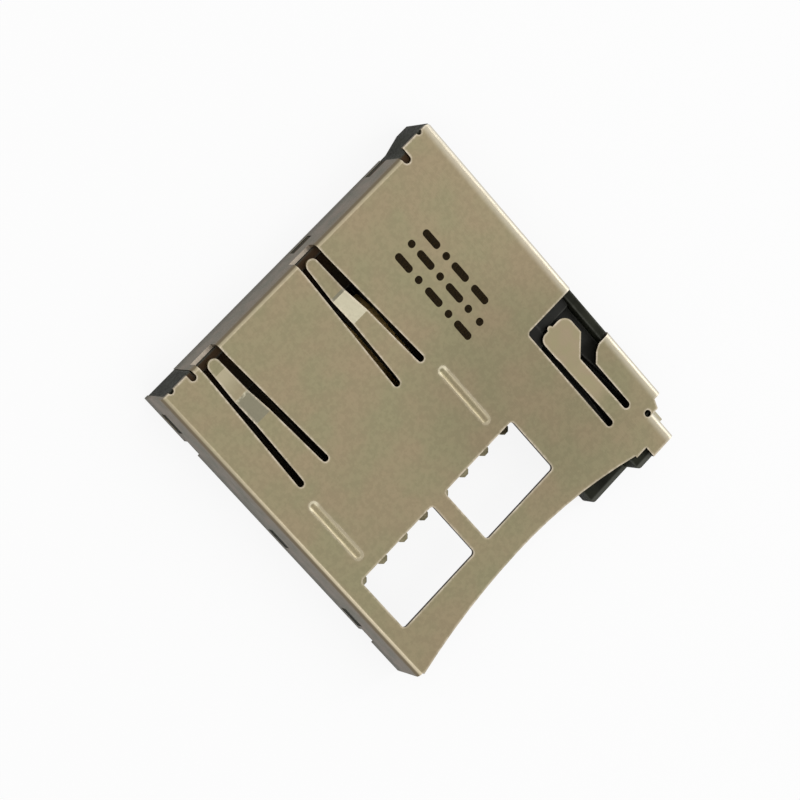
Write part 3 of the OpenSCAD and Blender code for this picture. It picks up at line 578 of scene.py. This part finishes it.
# The two tapered springs bend down and level out again. Each stretch gets painted light for how it
# faces the lamps: a painted highlight on the right spring's bend with a painted shade line past it,
# a painted shade on the left spring's bend, and a painted highlight on the left tip with a painted glint
# at its bend.
bend_highlight = (0.46, 0.425, 0.31)
bend_shade = (0.2, 0.185, 0.13)
tip_highlight = (0.4, 0.35, 0.235)
left_bend = -4.74
right_bend = 0.295
bend_half = 0.36
bend_ends = (4.23, 5.24)
left_glint = (5.16, 5.28)
right_shade = (5.24, 5.36)
tip_ends = (5.24, 6.4)
tip_fade = (5.3, 6.3)
tip_shares = (0.25, 1.0)
tone = mixed(tree, patch(right_bend, bend_half, bend_ends), tone, bend_highlight)
tone = mixed(tree, patch(right_bend, bend_half, right_shade), tone, bend_shade)
tone = mixed(tree, patch(left_bend, bend_half, bend_ends), tone, bend_shade)
tip = jointly(tree, patch(left_bend, bend_half, tip_ends), faded(tree, axes["Y"], tip_fade, *tip_shares))
tone = mixed(tree, tip, tone, tip_highlight)
glint = jointly(tree, patch(left_bend, bend_half, left_glint), cloud["Grain"])
tone = mixed(tree, glint, tone, bend_highlight)

# The tongue over the latch pin is sprung a little lower than the plate.
tongue_green = (0.288, 0.25, 0.15)
tongue_pink = (0.302, 0.244, 0.16)
tongue_middle = 5.45
tongue_half = 0.95
tongue_ends = (-5.1, -1.0)
tongue_heights = (1.99, 1.94)
lowered = jointly(tree, patch(tongue_middle, tongue_half, tongue_ends),
                  faded(tree, axes["Z"], tongue_heights))
tone = mixed(tree, lowered, tone, mixed(tree, flecks["Blotch"], tongue_green, tongue_pink))

# The rims that the stamping tool leaves rolled over get a painted highlight.
rim_highlight = (0.62, 0.54, 0.43)
rim_width = 0.15 * MM
rim_shares = (0.55, 0.95)
edge = use_group(tree, worn_and_lit, Width=rim_width, Grain=cloud["Grain"])
rim = jointly(tree, edge["Mask"], spread(tree, flecks["Blotch"], rim_shares))
tone = mixed(tree, rim, tone, rim_highlight)

# The flanks of the two pressed beads get a painted highlight, brightest at their rear ends.
bead_highlight = (0.42, 0.365, 0.25)
bead_glint = (0.66, 0.6, 0.44)
left_bead = -5.545
right_bead = 1.225
bead_half = 0.2
bead_ends = (-1.92, 0.9)
bead_slopes = (0.985, 0.9)
bead_rear = (0.5, 0.72)
bead = worked(tree, "MAXIMUM", patch(left_bead, bead_half, bead_ends),
              patch(right_bead, bead_half, bead_ends))
flank = jointly(tree, bead, eased(tree, slope, *bead_slopes))
flank_highlight = mixed(tree, faded(tree, axes["Y"], bead_rear), bead_highlight, bead_glint)
tone = mixed(tree, flank, tone, flank_highlight)

# The folds run along the left, right and rear edges. Their crowns get a painted highlight, strongest
# at the front. The right one gets a paler painted highlight, and its painted sheen reaches onto the
# plate.
fold_highlight = (0.55, 0.475, 0.34)
fold_pale_highlight = (0.72, 0.67, 0.56)
half_width = 6.925
rear_edge = 7.245
fold_reach = 0.24
tab_rear = -6.25
tab_inset = 0.7
crown_start = (0.998, 0.96)
crown_end = (0.66, 0.84)
crown_fade = (6.5, -3)
crown_shares = (0.45, 1.0)
pale_slopes = (0.999, 0.9)
sheen_ends = (half_width - 0.48, half_width - 0.18)
sheen_share = 0.45
ahead = under(tree, axes["Y"], tab_rear * MM)
across = worked(tree, "MULTIPLY_ADD", ahead, tab_inset * MM, axes["X"])
left = under(tree, axes["X"], (fold_reach - half_width) * MM)
right = over(tree, across, (half_width - fold_reach) * MM)
rear = over(tree, axes["Y"], (rear_edge - fold_reach) * MM)
outer = worked(tree, "MAXIMUM", worked(tree, "MAXIMUM", left, right), rear)
crown = jointly(tree, outer, eased(tree, slope, *crown_start), eased(tree, slope, *crown_end),
                faded(tree, axes["Y"], crown_fade, *crown_shares))
tone = mixed(tree, crown, tone, fold_highlight)
pale = jointly(tree, right, eased(tree, slope, *pale_slopes))
sheen = faded(tree, across, sheen_ends, 0.0, sheen_share)
tone = mixed(tree, worked(tree, "MAXIMUM", pale, sheen), tone, fold_pale_highlight)

# The walls get a painted shade, flecked, darker down at the board and warmer under the fold.
# On the right the painted shade starts lower, so the right fold's painted highlight reaches further down.
wall_pale = (0.21, 0.168, 0.126)
wall_green = (0.14, 0.131, 0.093)
wall_foot_shade = (0.08, 0.07, 0.045)
wall_high = (0.185, 0.15, 0.1)
wall_slopes = (0.84, 0.6)
right_drop = 0.5
low_heights = (0.7, 0.15)
low_share = 0.8
high_heights = (1.35, 1.75)
drop = worked(tree, "MULTIPLY", right, right_drop)
wall_start, wall_full = (worked(tree, "SUBTRACT", limit, drop) for limit in wall_slopes)
upright = jointly(tree, outer, eased(tree, slope, wall_start, wall_full))
wall_shade = mixed(tree, flecks["Blotch"], wall_green, wall_pale)
wall_shade = mixed(tree, faded(tree, axes["Z"], low_heights, 0.0, low_share), wall_shade, wall_foot_shade)
wall_shade = mixed(tree, faded(tree, axes["Z"], high_heights), wall_shade, wall_high)
tone = mixed(tree, upright, tone, wall_shade)

# The cut edges and the sills of the wall windows get a painted shade, brown towards the rear.
# The ledge of the rear wall and the solder foot face up and get a painted highlight.
cut_shade = (0.05, 0.04, 0.028)
cut_shade_brown = (0.17, 0.125, 0.05)
ledge_highlight = (0.4, 0.345, 0.28)
foot_highlight = (0.42, 0.38, 0.28)
cut_slopes = (0.4, 0.2)
brown_from = 5.7
sill_height = 1.2
ledge_height = 1.5
level = over(tree, slope, level_slope)
sill = jointly(tree, outer, level, under(tree, axes["Z"], sill_height * MM))
inside = worked(tree, "SUBTRACT", 1.0, outer)
steep = eased(tree, worked(tree, "ABSOLUTE", slope), *cut_slopes)
cut = worked(tree, "MAXIMUM", jointly(tree, inside, steep), sill)
cut_shade_tone = mixed(tree, over(tree, axes["Y"], brown_from * MM), cut_shade, cut_shade_brown)
tone = mixed(tree, cut, tone, cut_shade_tone)
ledge = jointly(tree, rear, level, within(axes["Z"], sill_height, ledge_height))
tone = mixed(tree, ledge, tone, ledge_highlight)
tone = mixed(tree, jointly(tree, sill, ahead), tone, foot_highlight)

connect(tree, tone, shader.inputs["Base Color"])
connect(tree, spread(tree, lines["Grain"], sheet_roughness), shader.inputs["Roughness"])
connect(tree, sheet_edge_tint, shader.inputs["Specular Tint"])
shader.inputs["Metallic"].default_value = 1
bumped(tree, shader, None, lines["Grain"], sheet_grain_height)
dress(satin_sheet, "cover_shell")

# Date marks
# Rows of plain dots and dashes, burnt into the plate in place of the real code. They spell
# nothing. A row gives its distance from the left wall in millimetres, and each mark its
# distance from that wall's front end and its length.
mark_ink = (0.006, 0.004, 0.0015)
mark_ink_pale = (0.021, 0.013, 0.004)
mark_gloss = 0.05
mark_roughness = (0.55, 0.75)
mark_mottle = 0.2
mark_grain = 0.05
mark_width = 0.29
mark_corner = 0.13
mark_corner_steps = 4
mark_depth = 0.006
mark_top = 2.003
dash = 0.84
dot = 0.29
front_offset = 6.525
mark_rows = (
    (9.7, ((11.02, dash), (10.2, dot), (9.36, dash), (8.54, dot), (7.74, dash))),
    (10.38, ((11.3, dot), (10.52, dash), (9.72, dot), (8.92, dash), (8.14, dot), (7.5, dot))),
    (11.05, ((10.9, dash), (10.08, dot), (9.3, dash), (8.2, dash))),
)
marking = bmesh.new()
for row, marks in mark_rows:
    for along, length in marks:
        bar = bmesh.ops.create_cube(marking, size=1)["verts"]
        bmesh.ops.scale(marking, vec=(mark_width, length, mark_depth), verts=bar)
        corners = [edge for edge in {edge for vert in bar for edge in vert.link_edges}
                   if abs(edge.verts[0].co.z - edge.verts[1].co.z) > mark_depth / 2]
        bmesh.ops.translate(marking, verts=bar, vec=(
            row - half_width, along - front_offset, mark_top - mark_depth / 2))
        bmesh.ops.bevel(marking, geom=corners, affect="EDGES", offset=mark_corner,
                        segments=mark_corner_steps, profile=0.5, material=-1)
ink, tree, shader, place = new_finish("burnt_mark")
cloud = use_group(tree, cloudy, Vector=place, Blotch=mark_mottle, Grain=mark_grain)
connect(tree, mixed(tree, cloud["Grain"], mark_ink, mark_ink_pale), shader.inputs["Base Color"])
connect(tree, spread(tree, cloud["Blotch"], mark_roughness), shader.inputs["Roughness"])
connect(tree, mark_gloss, shader.inputs["Specular IOR Level"])
finished(marking, "date_marks", ink, "socket")
